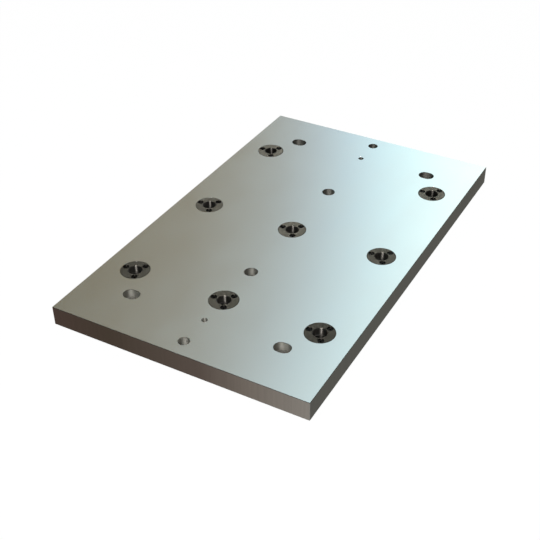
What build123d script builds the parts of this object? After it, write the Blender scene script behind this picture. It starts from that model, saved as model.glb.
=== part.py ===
from build123d import *
import os

# Machine subplate: a ground steel plate that bolts to a machine table and carries flush
# receiver bushings, into which the locking shanks of a fixture plate drop from above.
# Frame: origin at the centre of the bottom face, X across the short side, Y along the long
# side, +Z up. All sizes are in mm.

# Plate
plate_width = 400.0
plate_length = 650.0
plate_thickness = 30.0
edge_break = 0.5
hole_edge_break = 0.3

# Receiver bushings stand on a grid, and one place of the grid is left plain
bushing_spacing_x = 150.0
bushing_spacing_y = 200.0
plain_place = (0, 1)

# Receiver bushing: a round flange, flush with the plate, on a round body. Its bore is a
# ground land for the shank, which opens out over a cone, the seat for the locking balls.
flange_diameter = 43.0
flange_thickness = 7.0
body_diameter = 26.0
bushing_length = 22.0
bushing_edge_break = 0.4
shank_bore = 20.0
bore_lead_in = 0.6
land_depth = 11.0
ball_seat_wall = 1.5
ball_seat_height = 3.5
body_clearance = 0.02
flange_clearance = 0.1

# Bushing screws: M5 x 12 cap screws with low heads, sunk in the flange in recesses that leave a
# thin wall at its rim
screws_per_bushing = 3
screw_rim_wall = 0.5
first_screw_angle = 60.0
screw_diameter = 5.0
screw_length = 12.0
screw_head_diameter = 8.5
screw_head_height = 3.5
screw_head_edge = 0.4
socket_across_flats = 3.0
socket_depth = 2.0
head_sink = 1.5
head_clearance = 0.5
shank_clearance = 0.25
thread_clearance = 0.02
thread_run_out = 2.5

# Holes for the table bolts, M12 socket head cap screws in counterbores. The corner ones are
# slots along X, which take up the spacing of different table slots. They lie in a row past
# the last bushings at each end, with a lifting hole between them.
end_row_offset = 50.0
bolt_hole = 13.5
bolt_head_bore = 20.0
bolt_head_bore_depth = 13.0
corner_slot_travel = 5.0
corner_slot_spacing_x = 241.0
middle_bolt_spacing = 250.0

# Key bores, which line the plate up with the table's middle slot
key_bore = 16.0
key_bore_inset = 25.0

# Tapped lifting holes, M8, drawn at the crests of their threads
lifting_hole = 6.8
lifting_hole_mouth = 9.0

top_z = plate_thickness
flange_seat_z = top_z - flange_thickness
head_seat_z = top_z - head_sink - screw_head_height
head_bore = screw_head_diameter + 2 * head_clearance
tapped_hole = screw_diameter + 2 * thread_clearance
tapped_depth = flange_seat_z - (head_seat_z - screw_length) + thread_run_out
screw_circle = flange_diameter - head_bore - 2 * screw_rim_wall
end_row_spacing = 2 * (bushing_spacing_y + end_row_offset)
key_bore_spacing = plate_length - 2 * key_bore_inset


def grid_places():
    """The centres of the bushings, row by row from the back left."""
    return [
        (column * bushing_spacing_x, row * bushing_spacing_y)
        for row in (1, 0, -1)
        for column in (-1, 0, 1)
        if (column, row) != plain_place
    ]


def screw_ring(centre, height):
    """The places of one bushing's screws, at the given height."""
    with Locations((*centre, height)):
        ring = PolarLocations(screw_circle / 2, screws_per_bushing, first_screw_angle)
    return ring.locations


def section_plane(place):
    """The upright plane through a place, with radius across and height up."""
    return Plane(origin=place.position, x_dir=(1, 0, 0), z_dir=(0, -1, 0))


def base_plate():
    """The plate with the seats, tapped holes and table holes of all that it carries."""
    centres = grid_places()
    screw_starts = [place for centre in centres for place in screw_ring(centre, flange_seat_z)]
    top = Plane.XY.offset(top_z)

    with BuildPart() as plate:
        with BuildSketch():
            Rectangle(plate_width, plate_length)
        extrude(amount=plate_thickness)
        chamfer(plate.edges(), edge_break)

        with Locations(*[(*centre, top_z) for centre in centres]):
            CounterBoreHole(
                body_diameter / 2 + body_clearance,
                flange_diameter / 2 + flange_clearance,
                flange_thickness,
            )
        with Locations(*screw_starts):
            Hole(tapped_hole / 2, tapped_depth)

        for slot_width, slot_depth in (
            (bolt_hole, plate_thickness),
            (bolt_head_bore, bolt_head_bore_depth),
        ):
            with BuildSketch(top):
                with GridLocations(corner_slot_spacing_x, end_row_spacing, 2, 2):
                    SlotCenterToCenter(corner_slot_travel, slot_width)
            extrude(amount=-slot_depth, mode=Mode.SUBTRACT)
        with Locations(top):
            with GridLocations(0, middle_bolt_spacing, 1, 2):
                CounterBoreHole(bolt_hole / 2, bolt_head_bore / 2, bolt_head_bore_depth)
            with GridLocations(0, key_bore_spacing, 1, 2):
                Hole(key_bore / 2)
            with GridLocations(0, end_row_spacing, 1, 2):
                Hole(lifting_hole / 2)

        plate_faces = plate.faces().filter_by(Axis.Z).sort_by(Axis.Z)
        for face in (plate_faces[-1], plate_faces[0]):
            mouths = [edge for wire in face.inner_wires() for edge in wire.edges()]
            chamfer(mouths, hole_edge_break)
        with Locations(top):
            with GridLocations(0, end_row_spacing, 1, 2):
                CounterSinkHole(lifting_hole / 2, lifting_hole_mouth / 2, counter_sink_angle=90)
    return plate.part


def receiver_bushing(centre):
    """A bushing in its seat, with recesses for its screws."""
    place = Location((*centre, top_z))
    rim = flange_diameter / 2
    body = body_diameter / 2
    bore = shank_bore / 2
    seat = body - ball_seat_wall
    edge = bushing_edge_break

    with BuildPart() as bushing:
        with BuildSketch(section_plane(place)):
            with BuildLine():
                Polyline(
                    (bore, -land_depth),
                    (bore, -bore_lead_in),
                    (bore + bore_lead_in, 0),
                    (rim - edge, 0),
                    (rim, -edge),
                    (rim, -flange_thickness),
                    (body, -flange_thickness),
                    (body, edge - bushing_length),
                    (body - edge, -bushing_length),
                    (seat, -bushing_length),
                    (seat, -land_depth - ball_seat_height),
                    close=True,
                )
            make_face()
        revolve(axis=Axis(place.position, (0, 0, 1)))
        with Locations(*screw_ring(centre, top_z)):
            CounterBoreHole(
                screw_diameter / 2 + shank_clearance,
                head_bore / 2,
                top_z - head_seat_z,
            )
    return bushing.part


def cap_screw(place):
    """A low head cap screw, with the underside of its head at the given place."""
    head = screw_head_diameter / 2
    shank = screw_diameter / 2

    with BuildPart() as screw:
        with BuildSketch(section_plane(place)):
            with BuildLine():
                Polyline(
                    (0, screw_head_height),
                    (head - screw_head_edge, screw_head_height),
                    (head, screw_head_height - screw_head_edge),
                    (head, 0),
                    (shank, 0),
                    (shank, -screw_length),
                    (0, -screw_length),
                    close=True,
                )
            make_face()
        revolve(axis=Axis(place.position, (0, 0, 1)))
        with BuildSketch(Plane(place).offset(screw_head_height)):
            RegularPolygon(socket_across_flats / 2, 6, major_radius=False)
        extrude(amount=-socket_depth, mode=Mode.SUBTRACT)
    return screw.part


def save(piece, name):
    """Label a finished piece and write it under its name."""
    piece.label = name
    export_step(piece, f"parts/{name}.step")


os.makedirs("parts", exist_ok=True)
save(base_plate(), "base_plate")
for number, centre in enumerate(grid_places(), start=1):
    save(receiver_bushing(centre), f"receiver_bushing_{number}")
    for letter, place in zip("abc", screw_ring(centre, head_seat_z)):
        save(cap_screw(place), f"bushing_screw_{number}{letter}")
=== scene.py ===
import math

import bmesh
import bpy
from mathutils import Matrix, Vector


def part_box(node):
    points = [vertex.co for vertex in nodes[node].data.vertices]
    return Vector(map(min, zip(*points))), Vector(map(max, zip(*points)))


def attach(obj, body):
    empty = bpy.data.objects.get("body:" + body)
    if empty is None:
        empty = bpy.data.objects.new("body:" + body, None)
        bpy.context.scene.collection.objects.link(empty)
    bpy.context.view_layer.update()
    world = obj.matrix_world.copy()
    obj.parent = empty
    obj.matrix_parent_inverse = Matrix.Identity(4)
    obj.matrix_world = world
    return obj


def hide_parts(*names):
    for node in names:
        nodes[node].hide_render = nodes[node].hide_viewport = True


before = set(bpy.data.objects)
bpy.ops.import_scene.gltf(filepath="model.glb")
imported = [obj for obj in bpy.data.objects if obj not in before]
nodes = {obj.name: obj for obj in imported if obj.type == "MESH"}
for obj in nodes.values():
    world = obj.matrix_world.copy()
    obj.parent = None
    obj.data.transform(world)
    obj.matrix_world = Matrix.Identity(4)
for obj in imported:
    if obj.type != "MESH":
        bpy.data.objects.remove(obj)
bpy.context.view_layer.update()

mm = 0.001

# Camera: in front of the plate and to its right, looking down at it
camera_place = Vector((0.5910, -1.0958, 0.8626))
camera_azimuth = math.radians(27.73)
camera_elevation = math.radians(35.65)
camera_roll = math.radians(0.34)
camera_lens = 64.9
camera_shift = (-0.0565, -0.0157)

# Studio: a dim patch low at the back left, and round it a bright band, in degrees from the
# patch's middle. The brightest colour of the band is brightest_sky times white.
dim_patch_azimuth = math.radians(156.3)
dim_patch_elevation = math.radians(22.7)
brightest_sky = 2.1
sky_bands = (
    (16.0, "#595546"),
    (24.0, "#6f6753"),
    (28.0, "#6d6453"),
    (32.0, "#7a7361"),
    (35.0, "#87867d"),
    (38.5, "#a9b8d6"),
    (41.0, "#c0fbff"),
    (46.0, "#ffffff"),
    (51.0, "#c9d2d4"),
    (60.0, "#acb2b4"),
    (78.0, "#8a8c8c"),
    (110.0, "#6c6c6a"),
    (180.0, "#606060"),
)

# The studio's dark side, to the front left: its azimuth, its share of the light, and the
# cosines of the angle from its middle between which the light falls off to that share
dark_side_azimuth = math.radians(-135)
dark_side_share = 0.3
dark_side_fall_off = (-0.1, 0.7)

# Strip light: a tall narrow box close in front of the plate, to the right of its middle
strip_light_place = Vector((0.14, -0.80, 0.53))
strip_light_size = (0.16, 0.90)
strip_light_brightness = 17.0

# Light box: on the strip light's side, further off and high up
light_box_place = Vector((0.42, -2.40, 3.85))
light_box_size = (0.75, 1.20)
light_box_brightness = 65.0

# The share of the floor that is plain white to the eye and in reflections; the rest of it is
# a pale floor that takes the light and the plate's soft shadow
floor_whiteness = 0.97
floor_size = 200.0

# The plate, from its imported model
plate_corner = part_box("base_plate")[1]
half_width = plate_corner.x
half_length = plate_corner.y
top_z = plate_corner.z
edge_break = 0.5 * mm
bolt_head_bore_depth = 13 * mm
ledge_z = top_z - bolt_head_bore_depth

# A point of the plate that is this near to a face counts as on it
skin = 0.002 * mm

# How far highlights stretch across the lines that a tool leaves
plate_stretch = 0.9
bushing_stretch = 1.0

# The plate's ground faces: the lines run along the plate, with a slight slant, and the satin
# varies in a faint haze of patches about as long as a grinding wheel is wide
lay_slant = 0.01
haze_patch = (40 * mm, 70 * mm, 40 * mm)
ground_roughness = 0.17
haze_roughness = 0.04

# The plate's milled sides: upright marks from the side of the cutter. Their real spacing, the
# feed of 0.2 mm, is too fine to show, so they are drawn 2.4 mm wide.
cutter_mark = (2.4 * mm, 2.4 * mm, 90 * mm)
cutter_mark_depth = 0.006 * mm
cutter_mark_contrast = 0.20
darkest_mark = 0.90
milled_roughness = 0.55

# The plate's bores: their colour changes with depth from just below the mouth, and a painted
# shade takes it from one share of itself at the front of the plate to another at the back, where
# they are darker.
# Their lay is upright, but wanders from point to point, so that the streaks of light fan out:
# it is this vector plus a random step of 0 to 1 along each axis.
bore_mouth = 1 * mm
painted_bore_shade = (1.45, 0.60)
bore_roughness = 0.62
bore_lay = (-0.5, -0.5, 1.2)

# Bushings stand on a grid, so one wrapped pair of coordinates serves them all. The bore's
# finish reaches to just short of the rim of the ball seat.
grid_x = 150 * mm
grid_y = 200 * mm
flange_radius = 21.5 * mm
rim_edge = 0.4 * mm
bushing_bore_radius = 10 * mm
lead_in = 0.6 * mm
ball_seat_reach = 1.45 * mm
flange_skin = 0.05 * mm
margin = 0.01 * mm

# The flanges: the grain of the blasting, about 0.1 mm, is too fine to show, so it is drawn as a
# mottle of 5 mm. Their shade is a share of their colour, a painted light that goes from one value
# in the front row to another in the back one, and from one near the brightest column to another
# far from it.
flange_mottle = (5 * mm, 5 * mm, 5 * mm)
flange_mottle_contrast = 0.30
mottle_detail = 4.0
painted_row_light = (0.88, 2.28)
brightest_painted_column = -30 * mm
painted_column_fall_off = (30 * mm, 180 * mm)
painted_column_light = (1.27, 0.87)
flange_roughness = 0.48
mottle_roughness = 0.12

# The bushings' bores, whose painted shade in the back row is a share of their colour. The tool's
# rings, about 0.1 mm apart, are too fine to show, so they are drawn 0.5 mm apart.
painted_back_bore_shade = 0.6
lead_in_roughness = 0.42
ground_bore_roughness = 0.36
turning_ring = (0.5 * mm, 10 * mm, 0.5 * mm)
turning_depth = 0.001 * mm

# The screws: oil lies on them in patches of about 1.5 mm
oil_patch = (1.5 * mm, 1.5 * mm, 1.5 * mm)
oiled_roughness = 0.28
dry_roughness = 0.2

# Screws, M5 cap screws with low heads
screw_radius = 2.5 * mm
screw_length = 12 * mm
screw_point = 0.4 * mm
screw_sides = 60
head_underside_edge = 0.2 * mm
head_rounding = 0.4 * mm
head_rounding_steps = 3
knurl_depth = 0.09 * mm
socket_across_flats = 3 * mm
socket_flat_turn = math.tau / 6
socket_depth = 2 * mm
socket_point = 0.7 * mm
socket_mouth = 0.15 * mm

# Each screw stopped at a turn of its own
turn_between_screws = math.radians(47)

# An edge that turns by more than this is drawn sharp, and a face whose normal rises by more
# than this is level and drawn flat
sharp_edge = math.radians(30)
level_face = 0.99


def linear(hex_colour):
    """An sRGB hex colour as linear red, green, blue and alpha."""
    parts = [int(hex_colour[i:i + 2], 16) / 255 for i in (1, 3, 5)]
    parts = [c / 12.92 if c <= 0.04045 else ((c + 0.055) / 1.055) ** 2.4 for c in parts]
    return (*parts, 1.0)


def add(tree, kind, sockets=None, output=0, stops=(), **settings):
    """The output of a new node, after its settings, its ramp's stops, and its sockets are set or
    linked. A socket's number counts those that the settings leave in use."""
    node = tree.nodes.new(kind)
    for name, value in settings.items():
        setattr(node, name, value)
    for number, (place, colour) in enumerate(stops):
        if number > 1:
            node.color_ramp.elements.new(1.0)
        node.color_ramp.elements[number].position = place
        node.color_ramp.elements[number].color = colour
    in_use = [socket for socket in node.inputs if socket.enabled]
    for name, value in (sockets or {}).items():
        socket = in_use[name] if isinstance(name, int) else node.inputs[name]
        if isinstance(value, bpy.types.NodeSocket):
            tree.links.new(value, socket)
        else:
            socket.default_value = value
    if isinstance(output, int):
        return [socket for socket in node.outputs if socket.enabled][output]
    return node.outputs[output] if output else None


def new_material(name):
    """A material with an empty tree, and its tree."""
    material = bpy.data.materials.new(name)
    material.use_nodes = True
    material.node_tree.nodes.clear()
    return material, material.node_tree


# Studio

def studio_world():
    """The studio's walls and ceiling, as one soft gradient by the angle from the dim patch, with
    one dark side. To the eye they are as white as the floor."""
    world = bpy.data.worlds.new("studio")
    bpy.context.scene.world = world
    world.use_nodes = True
    tree = world.node_tree
    tree.nodes.clear()
    level = math.cos(dim_patch_elevation)
    dim_patch = (
        level * math.cos(dim_patch_azimuth),
        level * math.sin(dim_patch_azimuth),
        math.sin(dim_patch_elevation),
    )
    direction = add(tree, "ShaderNodeTexCoord", output="Generated")
    cosine = add(tree, "ShaderNodeVectorMath", {0: direction, 1: dim_patch},
                 operation="DOT_PRODUCT")
    angle = add(tree, "ShaderNodeMath", {0: cosine}, operation="ARCCOSINE")
    half_turns = add(tree, "ShaderNodeMath", {0: angle, 1: math.pi}, operation="DIVIDE")
    bands = [(degrees / 180, linear(colour)) for degrees, colour in sky_bands]
    sky = add(tree, "ShaderNodeValToRGB", {0: half_turns}, stops=bands)
    dark_side = (math.cos(dark_side_azimuth), math.sin(dark_side_azimuth), 0.0)
    towards = add(tree, "ShaderNodeVectorMath", {0: direction, 1: dark_side},
                  operation="DOT_PRODUCT")
    starts, ends = dark_side_fall_off
    share = add(tree, "ShaderNodeMapRange", {"Value": towards, "From Min": starts,
                                             "From Max": ends, "To Min": 1.0,
                                             "To Max": dark_side_share})
    sky = add(tree, "ShaderNodeVectorMath", {0: sky, "Scale": share}, operation="SCALE")
    background = add(tree, "ShaderNodeBackground", {"Color": sky, "Strength": brightest_sky})
    seen = add(tree, "ShaderNodeLightPath", output="Is Camera Ray")
    white = add(tree, "ShaderNodeBackground", {"Color": linear("#ffffff"), "Strength": 1.0})
    mixed = add(tree, "ShaderNodeMixShader", {0: seen, 1: background, 2: white})
    add(tree, "ShaderNodeOutputWorld", {"Surface": mixed}, output=None)


def studio_floor():
    """A white floor, which stays white to the eye and in the steel and keeps a soft shadow. It
    is plain matt under the plate, so that it is dark at the bottom of the holes."""
    mesh = bpy.data.meshes.new("floor")
    shape = bmesh.new()
    bmesh.ops.create_grid(shape, x_segments=1, y_segments=1, size=floor_size / 2)
    shape.to_mesh(mesh)
    shape.free()
    floor = bpy.data.objects.new("floor", mesh)
    bpy.context.scene.collection.objects.link(floor)

    material, tree = new_material("matt_white_floor")
    rays = add(tree, "ShaderNodeLightPath").node.outputs
    seen = add(tree, "ShaderNodeMath", {0: rays["Is Camera Ray"], 1: rays["Is Glossy Ray"]},
               operation="MAXIMUM")
    seen = add(tree, "ShaderNodeMath", {0: seen, 1: rays["Is Transmission Ray"]},
               operation="MAXIMUM")
    place = add(tree, "ShaderNodeTexCoord", output="Object")
    size = (1 / half_width, 1 / half_length, 0.0)
    place = add(tree, "ShaderNodeVectorMath", {0: place, 1: size}, operation="MULTIPLY")
    place = add(tree, "ShaderNodeVectorMath", {0: place}, operation="ABSOLUTE")
    split = add(tree, "ShaderNodeSeparateXYZ", {0: place}).node.outputs
    reach = add(tree, "ShaderNodeMath", {0: split["X"], 1: split["Y"]}, operation="MAXIMUM")
    open_floor = add(tree, "ShaderNodeMath", {0: reach, 1: 1.0}, operation="GREATER_THAN")
    share = add(tree, "ShaderNodeMath", {0: seen, 1: floor_whiteness}, operation="MULTIPLY")
    share = add(tree, "ShaderNodeMath", {0: share, 1: open_floor}, operation="MULTIPLY")
    matt = add(tree, "ShaderNodeBsdfDiffuse", {"Color": linear("#f2f2f2")})
    white = add(tree, "ShaderNodeEmission", {"Color": linear("#ffffff"), "Strength": 1.0})
    mixed = add(tree, "ShaderNodeMixShader", {0: share, 1: matt, 2: white})
    add(tree, "ShaderNodeOutputMaterial", {"Surface": mixed}, output=None)
    mesh.materials.append(material)


def studio_lamp(name, place, size, brightness, away):
    """A flat lamp, whose back is turned the given way."""
    light = bpy.data.lights.new(name, "AREA")
    light.shape = "RECTANGLE"
    light.size, light.size_y = size
    # A flat lamp of radiance L sends out L * pi * area watts
    light.energy = brightness * math.pi * light.size * light.size_y
    lamp = bpy.data.objects.new(name, light)
    turn = away.to_track_quat("Z", "Y").to_matrix().to_4x4()
    lamp.matrix_world = Matrix.Translation(place) @ turn
    lamp.visible_camera = False
    bpy.context.scene.collection.objects.link(lamp)
    return lamp


def studio_lamps():
    """A light box high in front, which lights the plate's holes from above, and a low strip
    light, which draws an upright bright line down the wall of each bushing. The strip light is
    linked to the bushings alone, so that it doesn't glare in the plate from behind."""
    studio_lamp("light_box", light_box_place, light_box_size, light_box_brightness,
                light_box_place)
    away = Vector((strip_light_place.x, strip_light_place.y, 0))
    strip = studio_lamp("strip_light", strip_light_place, strip_light_size,
                        strip_light_brightness, away)
    lit = bpy.data.collections.new("lit_by_strip_light")
    for name in nodes:
        if name.startswith("receiver_bushing"):
            lit.objects.link(nodes[name])
    strip.light_linking.receiver_collection = lit


def camera():
    """The photograph's camera."""
    lens = bpy.data.cameras.new("camera")
    lens.lens = camera_lens
    lens.shift_x, lens.shift_y = camera_shift
    place = bpy.data.objects.new("camera", lens)
    tilt = math.pi / 2 - camera_elevation
    place.matrix_world = (
        Matrix.Translation(camera_place)
        @ Matrix.Rotation(camera_azimuth, 4, "Z")
        @ Matrix.Rotation(tilt, 4, "X")
        @ Matrix.Rotation(camera_roll, 4, "Z")
    )
    bpy.context.scene.collection.objects.link(place)
    bpy.context.scene.camera = place


# Materials

def surface_ground_steel():
    """Tool steel. Its top and bottom are surface ground to an even satin grey. Its sides are as
    milled, with a painted dark reflection that grows lighter across the short sides, and its
    broken edges are duller and darkened by painted shade. Its holes are bored down to the seats of
    the bolt heads and drilled below, where they are darker, a painted shade darkens them towards
    the back, and their walls throw an upright streak of light."""
    material, tree = new_material("surface_ground_steel")
    place = add(tree, "ShaderNodeTexCoord", output="Object")
    split = add(tree, "ShaderNodeSeparateXYZ", {0: place}).node.outputs

    # Where each finish is
    aside = add(tree, "ShaderNodeMath", {0: split["X"]}, operation="ABSOLUTE")
    along = add(tree, "ShaderNodeMath", {0: split["Y"]}, operation="ABSOLUTE")
    from_long_side = add(tree, "ShaderNodeMath", {0: half_width, 1: aside}, operation="SUBTRACT")
    from_short_side = add(tree, "ShaderNodeMath", {0: half_length, 1: along}, operation="SUBTRACT")
    from_side = add(tree, "ShaderNodeMath", {0: from_long_side, 1: from_short_side},
                    operation="MINIMUM")
    from_top = add(tree, "ShaderNodeMath", {0: top_z, 1: split["Z"]}, operation="SUBTRACT")
    from_face = add(tree, "ShaderNodeMath", {0: from_top, 1: split["Z"]}, operation="MINIMUM")
    on_face = add(tree, "ShaderNodeMath", {0: from_face, 1: skin}, operation="LESS_THAN")
    on_long_side = add(tree, "ShaderNodeMath", {0: from_long_side, 1: skin}, operation="LESS_THAN")
    on_side = add(tree, "ShaderNodeMath", {0: from_side, 1: skin}, operation="LESS_THAN")
    from_corner = add(tree, "ShaderNodeMath", {0: from_long_side, 1: from_short_side})
    at_corner = add(tree, "ShaderNodeMath", {0: from_corner, 1: edge_break + skin},
                    operation="LESS_THAN")
    outside = add(tree, "ShaderNodeMath", {0: on_side, 1: at_corner}, operation="MAXIMUM")
    below_mouth = add(tree, "ShaderNodeMath", {0: from_face, 1: edge_break + skin},
                      operation="GREATER_THAN")
    in_bore = add(tree, "ShaderNodeMath", {0: below_mouth, 1: outside}, operation="GREATER_THAN")
    on_face_or_outside = add(tree, "ShaderNodeMath", {0: on_face, 1: outside},
                             operation="MAXIMUM")
    off_face = add(tree, "ShaderNodeMath", {0: 1.0, 1: on_face_or_outside}, operation="SUBTRACT")
    drilled = add(tree, "ShaderNodeMath", {0: split["Z"], 1: ledge_z - skin},
                  operation="LESS_THAN")
    on_ledge = add(tree, "ShaderNodeMath", {0: split["Z"], 1: ledge_z, 2: skin},
                   operation="COMPARE")

    # The sides, with the cutter's marks and a painted reflection: dark on the long sides, and
    # growing lighter from -X to +X across the short ones
    cutter_marks = add(tree, "ShaderNodeVectorMath", {0: place, 1: cutter_mark},
                       operation="DIVIDE")
    cutter_marks = add(tree, "ShaderNodeTexNoise", {"Vector": cutter_marks, "Scale": 1.0})
    across = add(tree, "ShaderNodeMapRange",
                 {"Value": split["X"], "From Min": -half_width, "From Max": half_width})
    short_side_painted_reflection = add(tree, "ShaderNodeValToRGB", {0: across}, stops=[
        (0.00, linear("#4e3e36")),
        (0.24, linear("#4b3f34")),
        (0.60, linear("#61554d")),
        (0.78, linear("#7e756c")),
        (1.00, linear("#958f87")),
    ])
    # The long sides' plain dark colour is a painted reflection as well
    side_marks_and_painted_reflection = add(tree, "ShaderNodeMix", {0: on_long_side, 1: short_side_painted_reflection, 2: linear("#52514a")},
               data_type="RGBA")
    marked = add(tree, "ShaderNodeMath",
                 {0: cutter_marks, 1: cutter_mark_contrast, 2: darkest_mark},
                 operation="MULTIPLY_ADD")
    side_marks_and_painted_reflection = add(tree, "ShaderNodeVectorMath", {0: side_marks_and_painted_reflection, "Scale": marked}, operation="SCALE")
    height = add(tree, "ShaderNodeMath", {0: cutter_marks, 1: cutter_mark_depth},
                 operation="MULTIPLY")
    height = add(tree, "ShaderNodeMath", {0: height, 1: on_side}, operation="MULTIPLY")

    # The bores, with the bolt heads' seats, and a painted shade that darkens them towards the back
    depth = add(tree, "ShaderNodeMapRange", {"Value": from_top, "From Min": bore_mouth,
                                             "From Max": bolt_head_bore_depth})
    bore_with_painted_shade = add(tree, "ShaderNodeValToRGB", {0: depth}, stops=[
        (0.0, linear("#8f8d85")),
        (0.5, linear("#94928a")),
        (1.0, linear("#87857e")),
    ])
    bore_with_painted_shade = add(tree, "ShaderNodeMix", {0: drilled, 1: bore_with_painted_shade, 2: linear("#6d6a65")},
               data_type="RGBA")
    bore_with_painted_shade = add(tree, "ShaderNodeMix", {0: on_ledge, 1: bore_with_painted_shade, 2: linear("#84827b")},
               data_type="RGBA")
    # A painted shade, from one share of the bore's colour at the front of the plate to another at
    # the back
    front_shade, back_shade = painted_bore_shade
    shade = add(tree, "ShaderNodeMapRange", {"Value": split["Y"], "From Min": -half_length,
                                             "From Max": half_length, "To Min": front_shade,
                                             "To Max": back_shade})
    bore_with_painted_shade = add(tree, "ShaderNodeVectorMath", {0: bore_with_painted_shade, "Scale": shade}, operation="SCALE")

    colour = add(tree, "ShaderNodeMix", {0: on_face, 1: linear("#8f8d88"), 2: linear("#cccbc7")},
                 data_type="RGBA")
    # Broken edges and hole mouths: duller, and darkened by a painted shade
    colour = add(tree, "ShaderNodeMix", {0: off_face, 1: colour, 2: linear("#55534f")},
                 data_type="RGBA")
    colour = add(tree, "ShaderNodeMix", {0: in_bore, 1: colour, 2: bore_with_painted_shade}, data_type="RGBA")
    colour = add(tree, "ShaderNodeMix", {0: on_side, 1: colour, 2: side_marks_and_painted_reflection}, data_type="RGBA")

    haze = add(tree, "ShaderNodeVectorMath", {0: place, 1: haze_patch}, operation="DIVIDE")
    haze = add(tree, "ShaderNodeTexNoise", {"Vector": haze, "Scale": 1.0})
    satin = add(tree, "ShaderNodeMath", {0: haze, 1: haze_roughness, 2: ground_roughness},
                operation="MULTIPLY_ADD")
    roughness = add(tree, "ShaderNodeMix", {0: on_face, 1: milled_roughness, 2: satin})
    roughness = add(tree, "ShaderNodeMix", {0: off_face, 1: roughness, 2: bore_roughness})

    # Highlights stretch across the tool's lines: along X on the faces, and up and down, but less
    # evenly, in a bore
    upright = add(tree, "ShaderNodeTexWhiteNoise", {"Vector": place}, output="Color")
    upright = add(tree, "ShaderNodeVectorMath", {0: upright, 1: bore_lay})
    lay = add(tree, "ShaderNodeMix", {0: off_face, 1: (1.0, lay_slant, 0.0), 2: upright},
              data_type="VECTOR")
    steel = add(tree, "ShaderNodeBsdfPrincipled", {
        "Base Color": colour,
        "Metallic": 1.0,
        "Roughness": roughness,
        "Anisotropic": plate_stretch,
        "Tangent": lay,
        "Normal": add(tree, "ShaderNodeBump", {"Height": height, "Distance": 1.0}),
    })
    add(tree, "ShaderNodeOutputMaterial", {"Surface": steel}, output=None)
    return material


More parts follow.
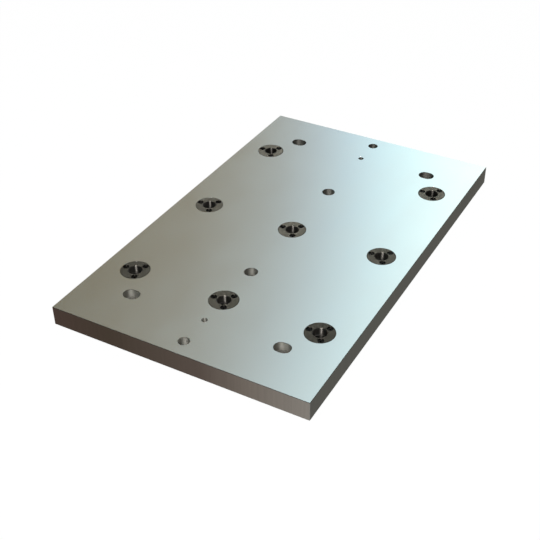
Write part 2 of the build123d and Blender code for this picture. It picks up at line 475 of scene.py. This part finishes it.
def black_oxide_hardened_steel():
    """Hardened steel with a black oxide finish: a satin dark grey with a brown cast. Its flange
    is blasted before blacking, so it shines evenly all ways. Its bore is ground, and throws an
    upright bright line. Painted light lightens the flanges towards the back row and the brightest
    column, and painted shade darkens the bores in the back row, the mouths, the rims and the
    recesses."""
    material, tree = new_material("black_oxide_hardened_steel")
    place = add(tree, "ShaderNodeTexCoord", output="Object")
    split = add(tree, "ShaderNodeSeparateXYZ", {0: place}).node.outputs

    # Where each finish is
    x = add(tree, "ShaderNodeMath", {0: split["X"], 1: grid_x / 2, 2: -grid_x / 2},
            operation="WRAP")
    y = add(tree, "ShaderNodeMath", {0: split["Y"], 1: grid_y / 2, 2: -grid_y / 2},
            operation="WRAP")
    from_axis = add(tree, "ShaderNodeCombineXYZ", {0: x, 1: y, 2: 0.0})
    radius = add(tree, "ShaderNodeVectorMath", {0: from_axis}, operation="LENGTH")
    below_top = add(tree, "ShaderNodeMath", {0: split["Z"], 1: top_z - flange_skin},
                    operation="LESS_THAN")
    near_bore = add(tree, "ShaderNodeMath", {0: radius, 1: bushing_bore_radius + ball_seat_reach},
                    operation="LESS_THAN")
    on_mouth = add(tree, "ShaderNodeMath",
                   {0: radius, 1: bushing_bore_radius + lead_in + margin}, operation="LESS_THAN")
    below_mouth = add(tree, "ShaderNodeMath", {0: split["Z"], 1: top_z - lead_in + margin},
                      operation="LESS_THAN")
    on_rim = add(tree, "ShaderNodeMath", {0: radius, 1: flange_radius - rim_edge + margin},
                 operation="GREATER_THAN")
    in_bore = add(tree, "ShaderNodeMath", {0: near_bore, 1: below_mouth}, operation="MULTIPLY")

    # The flange's shade, by its mottle and by a painted light that follows its place on the plate
    mottle = add(tree, "ShaderNodeVectorMath", {0: place, 1: flange_mottle}, operation="DIVIDE")
    mottle = add(tree, "ShaderNodeTexNoise",
                 {"Vector": mottle, "Scale": 1.0, "Detail": mottle_detail})
    front_row, back_row = painted_row_light
    painted_rows = add(tree, "ShaderNodeMapRange", {"Value": split["Y"], "From Min": -grid_y,
                                            "From Max": grid_y, "To Min": front_row,
                                            "To Max": back_row})
    brightest, at_sides = painted_column_light
    near, far = painted_column_fall_off
    painted_columns = add(tree, "ShaderNodeMath", {0: split["X"], 1: brightest_painted_column},
                  operation="SUBTRACT")
    painted_columns = add(tree, "ShaderNodeMath", {0: painted_columns}, operation="ABSOLUTE")
    painted_columns = add(tree, "ShaderNodeMapRange", {"Value": painted_columns, "From Min": near,
                                               "From Max": far, "To Min": brightest,
                                               "To Max": at_sides})
    shade = add(tree, "ShaderNodeMath", {0: mottle, 1: flange_mottle_contrast, 2: painted_rows},
                operation="MULTIPLY_ADD")
    shade = add(tree, "ShaderNodeMath", {0: shade, 1: painted_columns}, operation="MULTIPLY")
    flange_with_painted_light = add(tree, "ShaderNodeVectorMath", {0: linear("#56524a")[:3], "Scale": shade},
                 operation="SCALE")

    # The bore, darker in the back row by a painted shade
    painted_back_rows = add(tree, "ShaderNodeMapRange", {"Value": split["Y"], "From Min": 0.0,
                                                 "From Max": grid_y, "To Min": 1.0,
                                                 "To Max": painted_back_bore_shade})
    bore_with_painted_shade = add(tree, "ShaderNodeVectorMath", {0: linear("#64615c")[:3], "Scale": painted_back_rows},
               operation="SCALE")

    # Painted shade: a darker colour in the recesses below the flange's top, on the bore's mouth
    # and on the rim's edge
    colour = add(tree, "ShaderNodeMix", {0: below_top, 1: flange_with_painted_light, 2: linear("#2c2a27")},
                 data_type="RGBA")
    colour = add(tree, "ShaderNodeMix", {0: on_mouth, 1: colour, 2: linear("#4e4b46")},
                 data_type="RGBA")
    colour = add(tree, "ShaderNodeMix", {0: in_bore, 1: colour, 2: bore_with_painted_shade}, data_type="RGBA")
    colour = add(tree, "ShaderNodeMix", {0: on_rim, 1: colour, 2: linear("#23211e")},
                 data_type="RGBA")
    matt = add(tree, "ShaderNodeMath", {0: mottle, 1: mottle_roughness, 2: flange_roughness},
               operation="MULTIPLY_ADD")
    roughness = add(tree, "ShaderNodeMix", {0: on_mouth, 1: matt, 2: lead_in_roughness})
    roughness = add(tree, "ShaderNodeMix", {0: in_bore, 1: roughness, 2: ground_bore_roughness})

    rings = add(tree, "ShaderNodeCombineXYZ", {0: radius, 1: 0.0, 2: split["Z"]})
    rings = add(tree, "ShaderNodeVectorMath", {0: rings, 1: turning_ring}, operation="DIVIDE")
    rings = add(tree, "ShaderNodeTexNoise", {"Vector": rings, "Scale": 1.0})
    height = add(tree, "ShaderNodeMath", {0: rings, 1: turning_depth}, operation="MULTIPLY")

    # Highlights stretch up and down in a bore, and every way on the flange
    blasted = add(tree, "ShaderNodeTexWhiteNoise", {"Vector": place}, output="Color")
    blasted = add(tree, "ShaderNodeVectorMath", {0: blasted, 1: (0.5, 0.5, 0.5)},
                  operation="SUBTRACT")
    lay = add(tree, "ShaderNodeMix", {0: below_top, 1: blasted, 2: (0.0, 0.0, 1.0)},
              data_type="VECTOR")
    steel = add(tree, "ShaderNodeBsdfPrincipled", {
        "Base Color": colour,
        "Metallic": 1.0,
        "Roughness": roughness,
        "Anisotropic": bushing_stretch,
        "Tangent": lay,
        "Normal": add(tree, "ShaderNodeBump", {"Height": height, "Distance": 1.0}),
    })
    add(tree, "ShaderNodeOutputMaterial", {"Surface": steel}, output=None)
    return material


def black_oxide_alloy_steel():
    """Alloy steel screws, black oxide with a trace of oil: near black, with a soft sheen."""
    material, tree = new_material("black_oxide_alloy_steel")
    place = add(tree, "ShaderNodeTexCoord", output="Object")
    oil = add(tree, "ShaderNodeVectorMath", {0: place, 1: oil_patch}, operation="DIVIDE")
    oil = add(tree, "ShaderNodeTexNoise", {"Vector": oil, "Scale": 1.0, "Detail": mottle_detail})
    colour = add(tree, "ShaderNodeValToRGB", {0: oil},
                 stops=[(0.3, linear("#1a1816")), (0.75, linear("#272421"))])
    roughness = add(tree, "ShaderNodeMath", {0: oil, 1: dry_roughness, 2: oiled_roughness},
                    operation="MULTIPLY_ADD")
    steel = add(tree, "ShaderNodeBsdfPrincipled",
                {"Base Color": colour, "Metallic": 1.0, "Roughness": roughness})
    add(tree, "ShaderNodeOutputMaterial", {"Surface": steel}, output=None)
    return material


# Screws

def next_ring(shape, edges, radius, height):
    """Grows a surface from a ring of edges to a ring that reaches the given radius, at the given
    height."""
    grown = bmesh.ops.extrude_edge_only(shape, edges=edges)["geom"]
    verts = [item for item in grown if isinstance(item, bmesh.types.BMVert)]
    widen = radius / max(vert.co.xy.length for vert in verts)
    bmesh.ops.scale(shape, vec=(widen, widen, 1), verts=verts)
    bmesh.ops.translate(shape, vec=(0, 0, height - verts[0].co.z), verts=verts)
    return verts, [item for item in grown if isinstance(item, bmesh.types.BMEdge)]


def draw_in_to_hexagon(ring):
    """Moves the points of a round ring in to the hexagon that it goes round."""
    for vert in ring:
        turn = math.atan2(vert.co.y, vert.co.x) % socket_flat_turn - socket_flat_turn / 2
        vert.co.xy *= math.cos(socket_flat_turn / 2) / math.cos(turn)


def cap_screw(name, turn, material):
    """A low head cap screw in place of the plain one: a knurled head with a rounded edge, a hex
    socket with a chamfered mouth and a pointed bottom, and a shank."""
    low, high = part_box(name)
    head_radius = (high.x - low.x) / 2
    head_height = high.z - low.z - screw_length
    steps = range(head_rounding_steps + 1)
    rounding = [
        (head_radius - head_rounding * (1 - math.cos(angle)),
         head_height - head_rounding * (1 - math.sin(angle)))
        for angle in (math.pi / 2 * step / head_rounding_steps for step in steps)
    ]
    knurl = [
        (head_radius, 2 * head_underside_edge),
        (head_radius, head_height - head_rounding - head_underside_edge),
    ]
    outline = [
        (screw_radius, screw_point - screw_length),
        (screw_radius, 0),
        (head_radius - head_underside_edge, 0),
        (head_radius, head_underside_edge),
        *knurl,
        *rounding,
    ]
    socket = [
        (socket_across_flats / 2 + socket_mouth, head_height),
        (socket_across_flats / 2, head_height - socket_mouth),
        (socket_across_flats / 2, head_height - socket_depth),
    ]

    # The outside, ring by ring, with every other point of the knurl marked as a groove
    shape = bmesh.new()
    point = bmesh.ops.create_circle(shape, cap_ends=True, segments=screw_sides,
                                    radius=screw_radius - screw_point)["verts"]
    bmesh.ops.translate(shape, vec=(0, 0, -screw_length), verts=point)
    edges = shape.edges[:]
    grooves = []
    for radius, height in outline:
        ring, edges = next_ring(shape, edges, radius, height)
        if (radius, height) in knurl:
            grooves += [
                vert for vert in ring
                if round(math.atan2(vert.co.y, vert.co.x) * screw_sides / math.tau) % 2
            ]

    # The socket: its first ring is drawn in to a hexagon, which the next ones keep
    for number, (from_axis, height) in enumerate(socket):
        corner = from_axis / math.cos(socket_flat_turn / 2)
        ring, edges = next_ring(shape, edges, corner, height)
        if number == 0:
            draw_in_to_hexagon(ring)
    inwards = 1 - knurl_depth / head_radius
    bmesh.ops.scale(shape, vec=(inwards, inwards, 1), verts=grooves)
    bottom = bmesh.ops.contextual_create(shape, geom=edges)["faces"]
    bmesh.ops.recalc_face_normals(shape, faces=shape.faces)
    bmesh.ops.poke(shape, faces=bottom, offset=-socket_point)

    axis = Vector(((low.x + high.x) / 2, (low.y + high.y) / 2, low.z + screw_length))
    bmesh.ops.transform(shape, verts=shape.verts,
                        matrix=Matrix.Translation(axis) @ Matrix.Rotation(turn, 4, "Z"))
    mesh = bpy.data.meshes.new(name.replace("bushing", "cap"))
    shape.to_mesh(mesh)
    shape.free()

    # Smooth, but for sharp edges and the head's level top
    mesh.shade_smooth()
    mesh.set_sharp_from_angle(angle=sharp_edge)
    for face in mesh.polygons:
        face.use_smooth = face.normal.z < level_face
    mesh.materials.append(material)
    screw = bpy.data.objects.new(mesh.name, mesh)
    bpy.context.scene.collection.objects.link(screw)
    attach(screw, "root")
    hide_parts(name)


def finish_node(name, material):
    """Gives a CAD node its finished material."""
    node = nodes[name]
    node.data.materials.clear()
    node.data.materials.append(material)


finish_node("base_plate", surface_ground_steel())
bushing_steel = black_oxide_hardened_steel()
screw_steel = black_oxide_alloy_steel()
for name in nodes:
    if name.startswith("receiver_bushing"):
        finish_node(name, bushing_steel)
screws = sorted(name for name in nodes if name.startswith("bushing_screw"))
for number, name in enumerate(screws):
    cap_screw(name, number * turn_between_screws, screw_steel)

studio_world()
studio_floor()
studio_lamps()
camera()

bpy.context.scene.view_settings.view_transform = "Standard"
